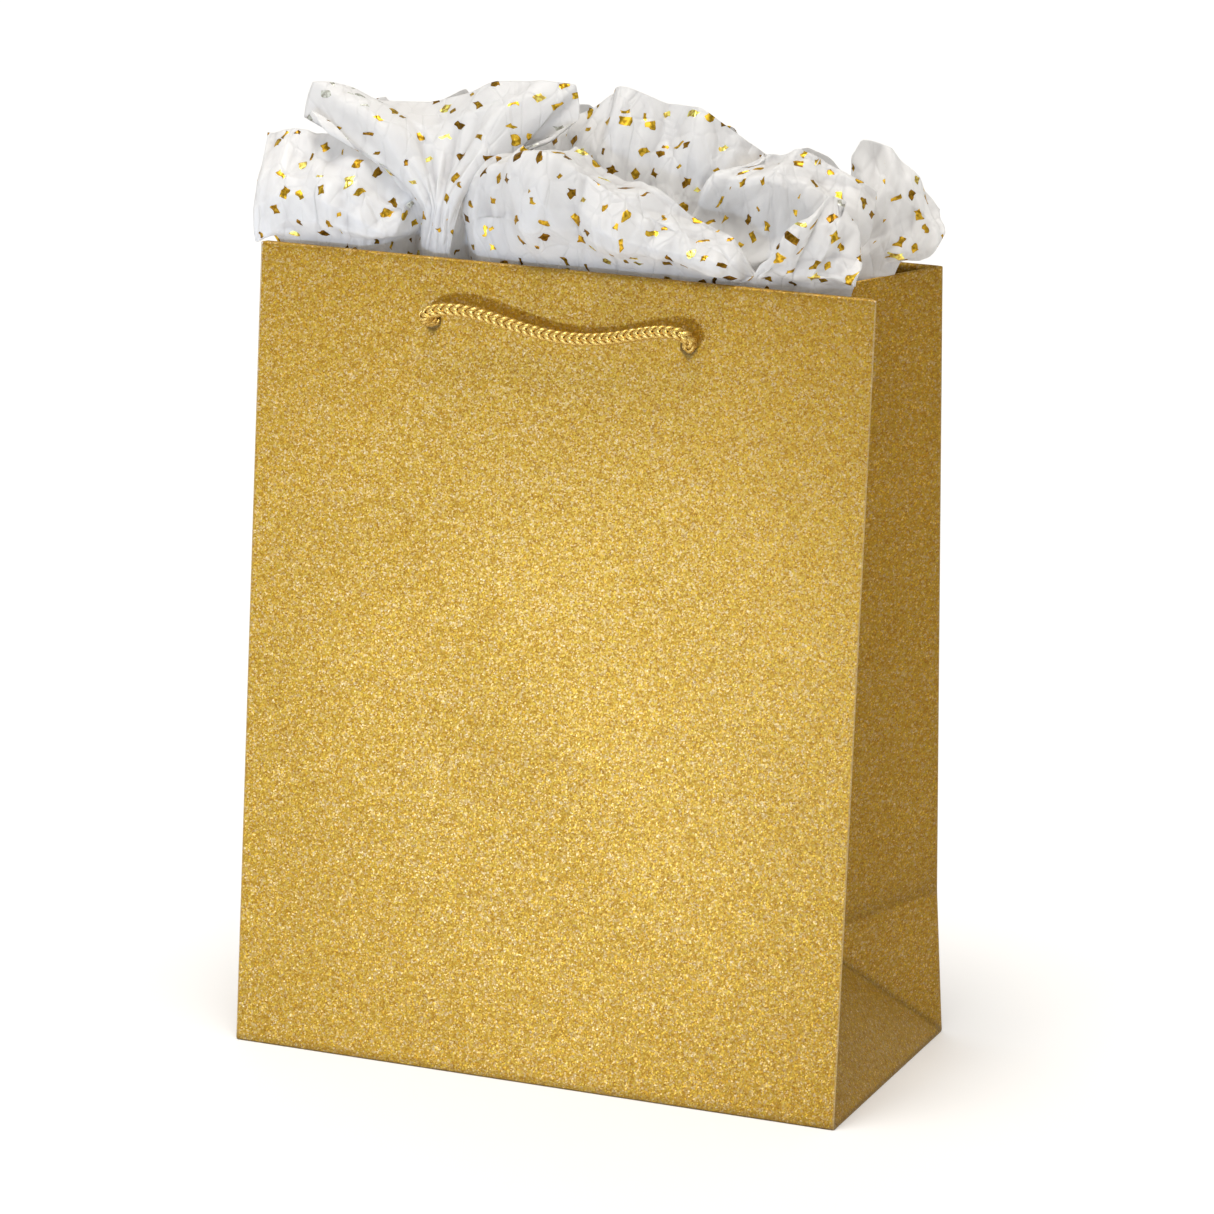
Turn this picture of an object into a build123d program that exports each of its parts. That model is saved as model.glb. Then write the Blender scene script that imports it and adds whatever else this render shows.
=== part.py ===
"""A paper gift bag: a gusseted bag with cord handles and three sheets of tissue standing in its mouth.

Millimetres. Origin at the centre of the base, on the surface it stands on. +X across the front, from the left
gusset to the right one, +Y from the front panel to the back one, +Z up.
"""

from build123d import *
import math
import os

# The bag, measured on its paper
WIDTH = 203.0
DEPTH = 102.0
HEIGHT = 256.0
PAPER = 0.4
CARD = 1.0
GAP = 0.3

# How far the bag stands folded: the panels lean in and the gussets are pushed in
FRONT_LEAN = 19.1
BACK_LEAN = 22.4
BACK_CREASE_IN = 9.2
APEX_IN = 28.0
GUSSET_SHEAR = 0.6

# The turned-in top edge
HEM_HEIGHT = 40.0
HEM_HALF_WIDTH = 96.0
STIFFENER_HEIGHT = 38.0
STIFFENER_HALF_WIDTH = 95.0

# The base
FLAP_OVERLAP = 10.0
END_FLAP_LENGTH = 45.0
FLAP_HALF_LENGTH = 99.6
FLAP_HALF_DEPTH = 49.6
BOARD_HALF_LENGTH = 98.5
BOARD_HALF_DEPTH = 49.0
SEAM_FLAP_WIDTH = 14.0

# The handles
CORD = 4.0
HOLE_SPACING = 84.0
HOLE_UP = 236.5
HOLE_RADIUS = 2.6
PIVOT_OUT = 2.4
PIVOT_UP = 236.9
KNOT_RADIUS = 4.6
KNOT_END = 7.0

# The tissue
TISSUE_BOTTOM = 150.0
TISSUE_TOP = 306.0
TISSUE_PITCH = 15.5
TISSUE_THICK = 0.5
PLEAT_DEPTH = 6.4
PLEATS = 14

HALF_WIDTH = WIDTH / 2
HALF_DEPTH = DEPTH / 2
SLOPE = FRONT_LEAN / HEIGHT
FRONT_TOP = HEIGHT * math.sqrt(1 - SLOPE**2)
CREASE_UP = math.sqrt(HALF_DEPTH**2 - BACK_CREASE_IN**2)
BACK_RUN = HEIGHT - HALF_DEPTH
BACK_SLOPE = (BACK_LEAN - BACK_CREASE_IN) / BACK_RUN
BACK_TOP = CREASE_UP + BACK_RUN * math.sqrt(1 - BACK_SLOPE**2)

# A handle's loop, hand placed: across the panel, out from its outer face, and up along it from the base fold.
# Its two ends lie on the pivot's line.
LOOP = [
    (-42.0, 2.4, 236.9),
    (-42.7, 5.6, 237.8),
    (-40.6, 8.2, 239.9),
    (-35.8, 8.8, 241.4),
    (-29.8, 8.0, 241.7),
    (-22.5, 7.0, 240.6),
    (-13.5, 6.0, 238.4),
    (-3.0, 5.4, 236.3),
    (8.0, 5.2, 235.7),
    (18.5, 5.4, 237.0),
    (28.0, 6.2, 239.5),
    (35.2, 7.2, 241.1),
    (40.9, 7.4, 241.3),
    (44.2, 5.4, 239.6),
    (43.6, 2.4, 236.9),
]

# Its right-hand tail, from the hole down the inside to the knot. The left-hand tail has the second list.
RIGHT_TAIL = [
    (42.0, 0.05, 236.5),
    (42.0, -4.2, 236.3),
    (42.3, -6.8, 233.2),
    (42.8, -7.0, 225.5),
    (41.6, -6.4, 210.5),
    (42.7, -6.2, 194.5),
    (41.7, -6.2, 179.0),
    (42.3, -5.8, 166.0),
]
LEFT_TAIL = [
    (-42.0, 0.05, 236.5),
    (-42.0, -4.2, 236.3),
    (-42.4, -6.8, 233.0),
    (-43.2, -7.1, 225.0),
    (-42.2, -6.5, 209.5),
    (-43.0, -6.1, 193.5),
    (-41.9, -6.2, 178.0),
    (-42.5, -5.8, 166.0),
]

os.makedirs("parts", exist_ok=True)


def save(name, solid):
    """Write one node's STEP."""
    export_step(solid, f"parts/{name}.step")


# ---------------------------------------------------------------- places on the panels


def front_face(z):
    """The front panel's outer face, as y at a height."""
    return -HALF_DEPTH + FRONT_LEAN * z / FRONT_TOP


def back_face(z):
    """The back panel's outer face, as y at a height. It is creased at CREASE_UP."""
    if z < CREASE_UP:
        return HALF_DEPTH - BACK_CREASE_IN * z / CREASE_UP
    share = (z - CREASE_UP) / (BACK_TOP - CREASE_UP)
    return HALF_DEPTH - BACK_CREASE_IN - (BACK_LEAN - BACK_CREASE_IN) * share


def on_front(u, out, up):
    """A point across, out from and up along the front panel."""
    rise = FRONT_TOP / HEIGHT
    return Vector(u, -HALF_DEPTH + up * SLOPE - out * rise, up * rise + out * SLOPE)


def on_back(u, out, up):
    """The same on the back panel, seen from behind, so that across is turned round."""
    rise = (BACK_TOP - CREASE_UP) / BACK_RUN
    above = up - HALF_DEPTH
    y = HALF_DEPTH - BACK_CREASE_IN - above * BACK_SLOPE + out * rise
    return Vector(-u, y, CREASE_UP + above * rise + out * BACK_SLOPE)


# ---------------------------------------------------------------- flat layers of the panels


def layer(face, inward, near, far, heights, half_width):
    """A sheet along a panel, between two depths behind its outer face, through the given heights."""
    outer = [(face(z) + inward * near, z) for z in heights]
    inner = [(face(z) + inward * far, z) for z in reversed(heights)]
    section = make_face(Plane.YZ * Polyline(*outer, *inner, close=True))
    return extrude(section, amount=half_width, both=True)


def punched(sheet, place):
    """A sheet with the two handle holes cut through it, square to the panel."""
    for u in (-HOLE_SPACING / 2, HOLE_SPACING / 2):
        centre = place(u, 0, HOLE_UP)
        square = place(u, 1, HOLE_UP) - centre
        sheet -= Plane(origin=centre, z_dir=square) * Cylinder(HOLE_RADIUS, 12)
    return sheet


def panel(name, face, inward, heights, place):
    """A panel, the card strip that stiffens its top edge, and the paper turned in over the strip."""
    top = heights[-1]
    strip = [top - STIFFENER_HEIGHT, top - CARD]
    hem = [top - HEM_HEIGHT, top]
    inside = PAPER + CARD
    save(f"{name}_panel", punched(layer(face, inward, 0, PAPER, heights, HALF_WIDTH), place))
    stiffener = layer(face, inward, PAPER, inside, strip, STIFFENER_HALF_WIDTH)
    save(f"{name}_stiffener", punched(stiffener, place))
    turned = layer(face, inward, inside, inside + PAPER, hem, HEM_HALF_WIDTH)
    save(f"{name}_hem", punched(turned, place))


# ---------------------------------------------------------------- gussets


def between(a, b, share):
    """The point that far along from a to b."""
    return a + (b - a) * share


def gusset_corners():
    """The right gusset's corners: its bottom, crease-height and top points, the apex and the crease's top."""
    clear = PAPER + GAP / 2
    middle = Vector(HALF_WIDTH, (front_face(FRONT_TOP) + back_face(BACK_TOP)) / 2, 0)
    half_mouth = back_face(BACK_TOP) - middle.Y
    apex = Vector(HALF_WIDTH - APEX_IN, 0, math.sqrt(HALF_DEPTH**2 - APEX_IN**2))
    fold_in = math.sqrt(HALF_DEPTH**2 - half_mouth**2)
    across = HALF_WIDTH - fold_in
    drop = apex.X - across
    fold_up = apex.Z + math.sqrt(BACK_RUN**2 - drop**2 - middle.Y**2)
    front_crease = HALF_DEPTH * FRONT_TOP / HEIGHT
    return {
        "front_bottom": Vector(HALF_WIDTH, front_face(0) + clear, 0),
        "front_crease": Vector(HALF_WIDTH, front_face(front_crease) + clear, front_crease),
        "front_top": Vector(HALF_WIDTH, front_face(FRONT_TOP) + clear, FRONT_TOP),
        "back_bottom": Vector(HALF_WIDTH, back_face(0) - clear, 0),
        "back_crease": Vector(HALF_WIDTH, back_face(CREASE_UP) - clear, CREASE_UP),
        "back_top": Vector(HALF_WIDTH, back_face(BACK_TOP) - clear, BACK_TOP),
        "apex": apex,
        "fold_top": Vector(across, middle.Y, fold_up),
    }


def sheared(triangles, start, thick):
    """Paper facets: each triangle, moved in by start and swept in by thick, joined into one solid."""
    inward = Vector(-1, 0, 0)
    facets = []
    for corners in triangles:
        moved = [c + inward * start for c in corners]
        face = Face(Wire.make_polygon(moved, close=True))
        facets.append(extrude(face, amount=thick, dir=inward))
    solid = facets[0]
    for facet in facets[1:]:
        solid = solid + facet
    return solid


def strip_rows(c, side, shares):
    """Triangles of a gusset's upper half on one side, in rows from the crease height to the top."""
    triangles = []
    for low, high in zip(shares, shares[1:]):
        edge_low = between(c[f"{side}_crease"], c[f"{side}_top"], low)
        edge_high = between(c[f"{side}_crease"], c[f"{side}_top"], high)
        fold_low = between(c["apex"], c["fold_top"], low)
        fold_high = between(c["apex"], c["fold_top"], high)
        triangles.append((edge_low, edge_high, fold_high))
        triangles.append((edge_low, fold_high, fold_low))
    return triangles


def gusset_hem(c, hem_share):
    """The gusset's turned-in top, lying on its inside and kept clear of both panels' own turned-in tops."""
    triangles = strip_rows(c, "front", [hem_share, 1]) + strip_rows(c, "back", [hem_share, 1])
    whole = sheared(triangles, GUSSET_SHEAR, GUSSET_SHEAR)
    return whole & Pos(0, 0, FRONT_TOP / 2) * Box(2 * HEM_HALF_WIDTH, DEPTH, FRONT_TOP)


def gussets():
    """Both gussets: the left one is the right one's mirror image."""
    c = gusset_corners()
    hem_share = 1 - HEM_HEIGHT / BACK_RUN
    shares = [0, 0.2, 0.4, 0.6, hem_share, 1]
    nodes = {}
    for side in ("front", "back"):
        lower = [(c[f"{side}_bottom"], c[f"{side}_crease"], c["apex"])]
        nodes[f"gusset_{side}"] = sheared(lower + strip_rows(c, side, shares), 0, GUSSET_SHEAR)
    foot = [(c["front_bottom"], c["back_bottom"], c["apex"])]
    nodes["gusset_foot"] = sheared(foot, 0, GUSSET_SHEAR)
    nodes["gusset_hem"] = gusset_hem(c, hem_share)
    for name, solid in nodes.items():
        save(f"right_{name}", solid)
        save(f"left_{name}", mirror(solid, about=Plane.YZ))


def seam_flap():
    """The glued flap down the inside of the back panel's left edge, under the turned-in top."""
    heights = [3.0, CREASE_UP, BACK_TOP - HEM_HEIGHT - 1]
    strip = layer(back_face, -1, PAPER, 2 * PAPER, heights, SEAM_FLAP_WIDTH / 2)
    save("side_seam_flap", Pos(-HALF_WIDTH + 4 + SEAM_FLAP_WIDTH / 2, 0, 0) * strip)


# ---------------------------------------------------------------- base


def plate(outline, bottom, thick):
    """A flat sheet of the given outline."""
    face = make_face(Polyline(*outline, close=True))
    return Pos(0, 0, bottom) * extrude(face, amount=thick)


def flap_outline(start, end):
    """A long base flap's outline, with its free corners cut at 45 degrees."""
    x = FLAP_HALF_LENGTH
    cut = abs(end - start) / 3
    turn = end - math.copysign(cut, end - start)
    return [(-x, start), (x, start), (x, turn), (x - cut, end), (-x + cut, end), (-x, turn)]


def base():
    """The glued block bottom: rear flap outermost, front flap over it, the two end flaps, and the loose board."""
    save("base_rear_flap", plate(flap_outline(FLAP_HALF_DEPTH, -FLAP_OVERLAP), 0, PAPER))
    save("base_front_flap", plate(flap_outline(-FLAP_HALF_DEPTH, FLAP_OVERLAP), PAPER, PAPER))
    x, y = FLAP_HALF_LENGTH, BOARD_HALF_DEPTH
    inner = x - END_FLAP_LENGTH
    outline = [(x, -y), (x, y), (inner, y / 2), (inner, -y / 2)]
    for name, sign in (("right", 1), ("left", -1)):
        end = [(sign * px, py) for px, py in outline]
        save(f"base_{name}_flap", plate(end, 2 * PAPER, PAPER))
    bx, by = BOARD_HALF_LENGTH, BOARD_HALF_DEPTH
    board = [(-bx, -by), (bx, -by), (bx, by), (-bx, by)]
    save("base_board", plate(board, 3 * PAPER, CARD))


# ---------------------------------------------------------------- handles


def tube(name, points):
    """A cord's tube along straight runs joined by arcs, each as large as its two runs allow."""
    radii = []
    for a, b, c in zip(points, points[1:], points[2:]):
        turn = (b - a).get_angle(c - b)
        shorter = min((b - a).length, (c - b).length)
        radii.append(0.45 * shorter / math.tan(math.radians(turn / 2)))
    path = FilletPolyline(*points, radius=radii)
    section = Plane(origin=path @ 0, z_dir=path % 0) * Circle(CORD / 2)
    solid = sweep(section, path=path)
    share = solid.volume / (math.pi * (CORD / 2) ** 2 * path.length)
    shown = ", ".join(f"{r:.1f}" for r in radii)
    print(f"{name}: {path.length:.1f} mm, volume share {share:.4f}, radii {shown}")
    return solid


def knot(place, tail):
    """The knot below a tail: a ball with a flat where the tail meets it, and the cord's short free end."""
    u, out, up = tail[-1]
    flat = math.sqrt(KNOT_RADIUS**2 - (CORD / 2) ** 2)
    ball = Sphere(KNOT_RADIUS) + Pos(0, 0, -KNOT_RADIUS - KNOT_END / 2 + 1) * Cylinder(CORD / 2, KNOT_END)
    ball -= Pos(0, 0, flat + KNOT_RADIUS) * Box(4 * KNOT_RADIUS, 4 * KNOT_RADIUS, 2 * KNOT_RADIUS)
    last = place(*tail[-1])
    along = last - place(*tail[-2])
    return Plane(origin=last + along.normalized() * flat, z_dir=along * -1) * ball


def handle(name, place):
    """A handle: the loop outside, which swings, and inside it two tails that end in knots."""
    loop = tube(f"{name}_loop", [place(*p) for p in LOOP])
    for end in (LOOP[0], LOOP[-1]):
        centre = place(*end)
        loop += Pos(centre.X, centre.Y, centre.Z) * Sphere(CORD / 2)
    save(f"{name}_handle_loop", loop)
    for side, tail in (("left", LEFT_TAIL), ("right", RIGHT_TAIL)):
        save(f"{name}_handle_{side}_tail", tube(f"{name}_{side}_tail", [place(*p) for p in tail]))
        save(f"{name}_handle_{side}_knot", knot(place, tail))


# ---------------------------------------------------------------- tissue


def pleated(half_width, y, z):
    """The outline of a pleated sheet at one height: a zigzag and the same zigzag one thickness behind."""
    near = []
    for i in range(PLEATS + 1):
        x = half_width * (2 * i / PLEATS - 1)
        swing = PLEAT_DEPTH if i % 2 else -PLEAT_DEPTH
        near.append((x, y + swing - TISSUE_THICK / 2))
    far = [(x, yy + TISSUE_THICK) for x, yy in reversed(near)]
    return Plane.XY.offset(z) * make_face(Polyline(*near, *far, close=True))


def tissue(name, y, foot_half_width, top_half_width):
    """A gathered sheet of tissue: its foot inside the bag, and its top spread above the rim."""
    foot = extrude(pleated(foot_half_width, y, TISSUE_BOTTOM), amount=HEIGHT - TISSUE_BOTTOM)
    rim = pleated(foot_half_width, y, HEIGHT)
    top = loft([rim, pleated(top_half_width, y, TISSUE_TOP)], ruled=True)
    save(f"{name}_tissue", foot + top)


panel("front", front_face, 1, [0, FRONT_TOP], on_front)
panel("back", back_face, -1, [0, CREASE_UP, BACK_TOP], on_back)
gussets()
seam_flap()
base()
handle("front", on_front)
handle("back", on_back)
tissue("front", -TISSUE_PITCH - 1.75, 68, 100)
tissue("middle", -1.75, 54, 98)
tissue("back", TISSUE_PITCH - 1.75, 68, 100)
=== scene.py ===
"""A gold glitter gift bag with cord handles and foil-flecked tissue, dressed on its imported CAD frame."""

import bpy
import math
import numpy as np
from mathutils import Matrix, Vector


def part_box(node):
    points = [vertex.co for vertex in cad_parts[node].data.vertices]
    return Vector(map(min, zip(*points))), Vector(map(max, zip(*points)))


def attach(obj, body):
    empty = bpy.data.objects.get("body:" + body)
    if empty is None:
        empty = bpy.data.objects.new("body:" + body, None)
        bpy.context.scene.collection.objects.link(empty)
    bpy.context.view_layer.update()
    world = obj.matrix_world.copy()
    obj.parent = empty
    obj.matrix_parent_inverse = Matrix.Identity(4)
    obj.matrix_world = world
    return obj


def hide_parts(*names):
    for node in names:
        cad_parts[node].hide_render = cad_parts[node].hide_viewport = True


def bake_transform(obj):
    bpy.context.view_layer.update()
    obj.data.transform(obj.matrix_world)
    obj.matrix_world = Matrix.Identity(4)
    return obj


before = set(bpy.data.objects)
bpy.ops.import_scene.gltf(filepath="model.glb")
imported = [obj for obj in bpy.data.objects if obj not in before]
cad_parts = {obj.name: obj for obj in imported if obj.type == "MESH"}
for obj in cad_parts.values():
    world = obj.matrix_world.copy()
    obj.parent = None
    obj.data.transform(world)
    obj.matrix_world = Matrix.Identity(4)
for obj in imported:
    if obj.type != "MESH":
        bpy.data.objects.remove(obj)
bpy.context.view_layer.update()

MM = 0.001

# ------ sizes
# The panels, their lean and the hem are measured on the frame. The rest repeats the CAD's own values.

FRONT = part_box("front_panel")
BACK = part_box("back_panel")
WIDTH = FRONT[1][0] - FRONT[0][0]
HALF_WIDTH = WIDTH / 2
HALF_DEPTH = -FRONT[0][1]
DEPTH = 2 * HALF_DEPTH
PAPER = 0.4 * MM
FRONT_TOP = FRONT[1][2]
FRONT_LEAN = FRONT[1][1] - FRONT[0][1] - PAPER
BACK_TOP = BACK[1][2]
BACK_LEAN = BACK[1][1] - BACK[0][1] - PAPER
# How far in the back panel's crease and the gussets' level folds stand.
BACK_CREASE_IN = 9.2 * MM
APEX_IN = 28.0 * MM
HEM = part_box("front_hem")[1][2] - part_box("front_hem")[0][2]
HEIGHT = math.hypot(FRONT_TOP, FRONT_LEAN)
CREASE_UP = math.sqrt(HALF_DEPTH**2 - BACK_CREASE_IN**2)
SLOPE = FRONT_LEAN / HEIGHT
BACK_RUN = HEIGHT - HALF_DEPTH
BACK_SLOPE = (BACK_LEAN - BACK_CREASE_IN) / BACK_RUN
# The handle holes' places across and up the paper, and the cord through them.
HOLE_X = 42.0 * MM
HOLE_UP = 236.5 * MM
HOLE_RADIUS = 2.6 * MM


# ------ camera, lights, floor

# The view's azimuth, elevation and roll in degrees. Azimuth 0 looks along +Y.
CAMERA_TURN = (22.0, 15.0, 0.87)
CAMERA_TARGET = Vector((0.017 * WIDTH, -HALF_DEPTH + 0.25 * WIDTH, 0.70 * WIDTH))
CAMERA_DISTANCE = 8.79 * WIDTH
LENS = 169.1
# Each light's place, aim, strength and colour. The front lamp is low, and a little to the bag's left.
FRONT_LAMP = ((-0.16, -1.0, 0.05), (-0.062, -0.04, 0.087), 20.8, (0.93, 1.18, 1.60))
HIGH_LIGHT = ((0.0, -0.42, 2.0), (0, 0, 0), 2.6, (1.03, 1.0, 0.95))
SKY_STRENGTH = 0.45
FLOOR_SIZE = 24


def add_object(name, data):
    """An object of the data, in the scene."""
    item = bpy.data.objects.new(name, data)
    bpy.context.collection.objects.link(item)
    return item


def view_axes(view):
    """The camera's right, up and back directions for a view."""
    a, e, r = (math.radians(v) for v in view)
    back = Vector((math.sin(a) * math.cos(e), -math.cos(a) * math.cos(e), math.sin(e)))
    right = Vector((0, 0, 1)).cross(back).normalized()
    up = back.cross(right)
    return math.cos(r) * right + math.sin(r) * up, math.cos(r) * up - math.sin(r) * right, back


def make_camera():
    """A long lens, a little above the bag and to its right."""
    right, up, back = view_axes(CAMERA_TURN)
    data = bpy.data.cameras.new("camera")
    data.lens = LENS
    data.clip_end = 20
    camera = add_object("camera", data)
    place = CAMERA_TARGET + back * CAMERA_DISTANCE
    camera.matrix_world = Matrix.Translation(place) @ Matrix((right, up, back)).transposed().to_4x4()
    bpy.context.scene.camera = camera


def add_light(name, kind, place, aim, strength, colour):
    """A lamp at a place, turned to face a point."""
    data = bpy.data.lights.new(name, kind)
    data.energy = strength
    data.color = colour
    light = add_object(name, data)
    light.location = place
    light.rotation_euler = (Vector(aim) - Vector(place)).to_track_quat("-Z", "Y").to_euler()
    return data


def make_studio():
    """A pale floor under a soft high light, and a low soft lamp in front for the bag's face."""
    world = bpy.data.worlds.new("studio")
    bpy.context.scene.world = world
    world.use_nodes = True
    background = world.node_tree.nodes["Background"]
    set_inputs(world.node_tree, background, {"Color": (1.0, 1.0, 1.0, 1), "Strength": SKY_STRENGTH})
    high = add_light("high_light", "SUN", *HIGH_LIGHT)
    high.angle = math.radians(30)
    front = add_light("front_lamp", "SPOT", *FRONT_LAMP)
    front.spot_size = math.radians(29)
    front.spot_blend = 1.0
    front.shadow_soft_size = 0.07
    bpy.ops.mesh.primitive_plane_add(size=FLOOR_SIZE, location=(0, 0, 0))
    floor = bpy.context.object
    floor.name = "floor"
    floor.data.materials.append(make_floor_material())
    bpy.context.scene.view_settings.view_transform = "Standard"


# ------ nodes

def new_material(name):
    """An empty node material, with its tree and its shader."""
    material = bpy.data.materials.new(name)
    material.use_nodes = True
    tree = material.node_tree
    return material, tree, tree.nodes["Principled BSDF"]


def set_inputs(tree, node, inputs):
    """Give a node's inputs their values, or link them from sockets."""
    for key, value in inputs.items():
        if isinstance(value, bpy.types.NodeSocket):
            tree.links.new(value, node.inputs[key])
        else:
            node.inputs[key].default_value = value


def add(tree, kind, inputs=None, **settings):
    """A node with its inputs and settings."""
    node = tree.nodes.new(f"ShaderNode{kind}")
    for name, value in settings.items():
        setattr(node, name, value)
    set_inputs(tree, node, inputs or {})
    return node


def ramp(tree, source, stops, interpolation="LINEAR"):
    """A colour ramp with the given (place, colour) stops."""
    node = add(tree, "ValToRGB", {"Fac": source})
    node.color_ramp.interpolation = interpolation
    elements = node.color_ramp.elements
    while len(elements) < len(stops):
        elements.new(0.5)
    for element, (place, colour) in zip(elements, stops):
        element.position = place
        element.color = (*colour, 1)
    return node.outputs["Color"]


def mix(tree, share, a, b, blend="MIX"):
    """A colour between a and b, or their blend, by a share."""
    colours = {6: a, 7: b if isinstance(b, bpy.types.NodeSocket) else (*b, 1)}
    return add(tree, "Mix", {0: share, **colours}, data_type="RGBA", blend_type=blend).outputs[2]


def math_node(tree, operation, *values, clamp=False):
    """A maths node on values or sockets."""
    inputs = dict(enumerate(values))
    return add(tree, "Math", inputs, operation=operation, use_clamp=clamp).outputs["Value"]


def vector_node(tree, operation, inputs):
    """A vector maths node on values or sockets."""
    return add(tree, "VectorMath", inputs, operation=operation).outputs[0]


def noise(tree, place, scale, detail, distortion=0.0):
    """A noise texture with so many waves a metre."""
    inputs = {"Vector": place, "Scale": scale, "Detail": detail, "Distortion": distortion}
    return add(tree, "TexNoise", inputs).outputs


def object_place(tree):
    """The piece's own coordinates, in metres."""
    return add(tree, "TexCoord").outputs["Object"]


def stored(tree, name):
    """A value stored on the mesh's vertices."""
    return add(tree, "Attribute", attribute_name=name).outputs


def bump(tree, height, strength, distance, **under):
    """The direction of a surface raised by a height, over the one under it."""
    inputs = {"Height": height, "Strength": strength, "Distance": distance, **under}
    return add(tree, "Bump", inputs).outputs["Normal"]


# ------ plain materials

def make_floor_material():
    """The studio's pale, smooth floor."""
    material, tree, shader = new_material("floor")
    set_inputs(tree, shader, {"Base Color": (0.9, 0.9, 0.9, 1), "Roughness": 0.6})
    return material


def make_fibrous(name, waves, tones, relief=None, **looks):
    """A material with fine fibres in its tone, and in its relief if that is given."""
    material, tree, shader = new_material(name)
    fibres = noise(tree, object_place(tree), *waves)["Fac"]
    looks["Base Color"] = ramp(tree, fibres, tones)
    if relief:
        looks["Normal"] = bump(tree, fibres, *relief)
    set_inputs(tree, shader, looks)
    return material


# The paper's white inner face, white-lined card, and metallic gold thread, brighter and darker by turns.
LINING_TONES = [(0.3, (0.78, 0.77, 0.74)), (0.7, (0.88, 0.87, 0.85))]
CARD_TONES = [(0.35, (0.66, 0.63, 0.57)), (0.65, (0.83, 0.81, 0.76))]
CORD_TONES = [(0.3, (0.42, 0.24, 0.03)), (0.5, (0.72, 0.47, 0.10)), (0.7, (0.95, 0.78, 0.36))]
LINING = make_fibrous("paper_lining", (1400.0, 4.0), LINING_TONES, Roughness=0.8)
CARD_STOCK = make_fibrous("card", (900.0, 6.0, 1.5), CARD_TONES, (0.15, 0.2 * MM), Roughness=0.85)
GOLD_CORD = make_fibrous("cord", (2600.0, 2.0), CORD_TONES, (0.5, 0.1 * MM), Metallic=0.75, Roughness=0.38)


# ------ glitter paper

# Flakes a metre, in the fine layer and the coarse one.
FINE_GLITTER = 2300.0
COARSE_GLITTER = 1150.0
# How far a flake is turned from the paper's face, and the share of the coarse layer's colour.
GLITTER_TILT = 0.17
COARSE_SHARE = 0.4
GLITTER_TONES = [
    (0.0, (0.27, 0.122, 0.006)),
    (0.2, (0.36, 0.178, 0.009)),
    (0.45, (0.39, 0.215, 0.013)),
    (0.65, (0.42, 0.270, 0.020)),
    (0.85, (0.43, 0.255, 0.055)),
    (1.0, (0.50, 0.370, 0.200)),
]
# Painted glints: what each flake's colour is multiplied by, by chance, a few lifted as if they caught the
# light.
PAINTED_GLINTS = [(0.0, (0.84, 0.84, 0.85)), (0.8, (1.0, 1.0, 1.0)), (1.0, (1.45, 1.45, 1.35))]
DRIFT_TONES = [(0.3, (0.93, 0.93, 0.92)), (0.7, (1.0, 1.0, 1.0))]
DRIFT_NOISE = (14.0, 3.0)
# The paper's colour where it is worn through, how far it is so at the most, and its colour under painted
# shade, in a dark fold and round a hole.
WORN_GLITTER = (0.80, 0.70, 0.48)
MOST_WORN = 0.22
PAINTED_SHADE_GLITTER = (0.060, 0.030, 0.004)


def glitter_tone(tree, place, fine, coarse):
    """The flakes' colours, with a slow drift and painted glints, pale where worn and darkened where shade is
    painted.
    """
    fine = add(tree, "SeparateColor", {"Color": fine}).outputs
    coarse = add(tree, "SeparateColor", {"Color": coarse}).outputs
    tone = ramp(tree, fine["Red"], GLITTER_TONES)
    tone = mix(tree, COARSE_SHARE, tone, ramp(tree, coarse["Green"], GLITTER_TONES))
    drift = ramp(tree, noise(tree, place, *DRIFT_NOISE)["Fac"], DRIFT_TONES)
    tone = mix(tree, 1.0, tone, drift, "MULTIPLY")
    # Painted glints on chance flakes.
    tone = mix(tree, 1.0, tone, ramp(tree, fine["Blue"], PAINTED_GLINTS), "MULTIPLY")
    worn = math_node(tree, "MULTIPLY", stored(tree, "wear")["Fac"], MOST_WORN, clamp=True)
    tone = mix(tree, worn, tone, WORN_GLITTER)
    # Painted shade, by the stored shade value.
    return mix(tree, stored(tree, "shade")["Fac"], tone, PAINTED_SHADE_GLITTER)


def make_glitter(name):
    """Gold glitter paper: packed flakes under half a millimetre, each with its own tone and tilt."""
    material, tree, shader = new_material(name)
    place = object_place(tree)
    fine = add(tree, "TexVoronoi", {"Vector": place, "Scale": FINE_GLITTER}).outputs["Color"]
    coarse = add(tree, "TexVoronoi", {"Vector": place, "Scale": COARSE_GLITTER}).outputs["Color"]
    centred = vector_node(tree, "SUBTRACT", {0: fine, 1: (0.5, 0.5, 0.5)})
    tilt = vector_node(tree, "SCALE", {0: centred, "Scale": GLITTER_TILT})
    normal = add(tree, "NewGeometry").outputs["Normal"]
    tilted = vector_node(tree, "ADD", {0: normal, 1: tilt})
    looks = {"Base Color": glitter_tone(tree, place, fine, coarse), "Metallic": 0.35, "Roughness": 0.42}
    looks["Specular IOR Level"] = 0.2
    looks["Normal"] = vector_node(tree, "NORMALIZE", {0: tilted})
    set_inputs(tree, shader, looks)
    return material


GLITTER = make_glitter("glitter_paper")


# ------ tissue paper

# Between two flakes of foil, and how far and how finely noise bends their outlines.
FLAKE_SPACING = 7.6 * MM
FLAKE_BEND = 1.9 * MM
BEND_NOISE = (480.0, 0.0)
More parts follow.
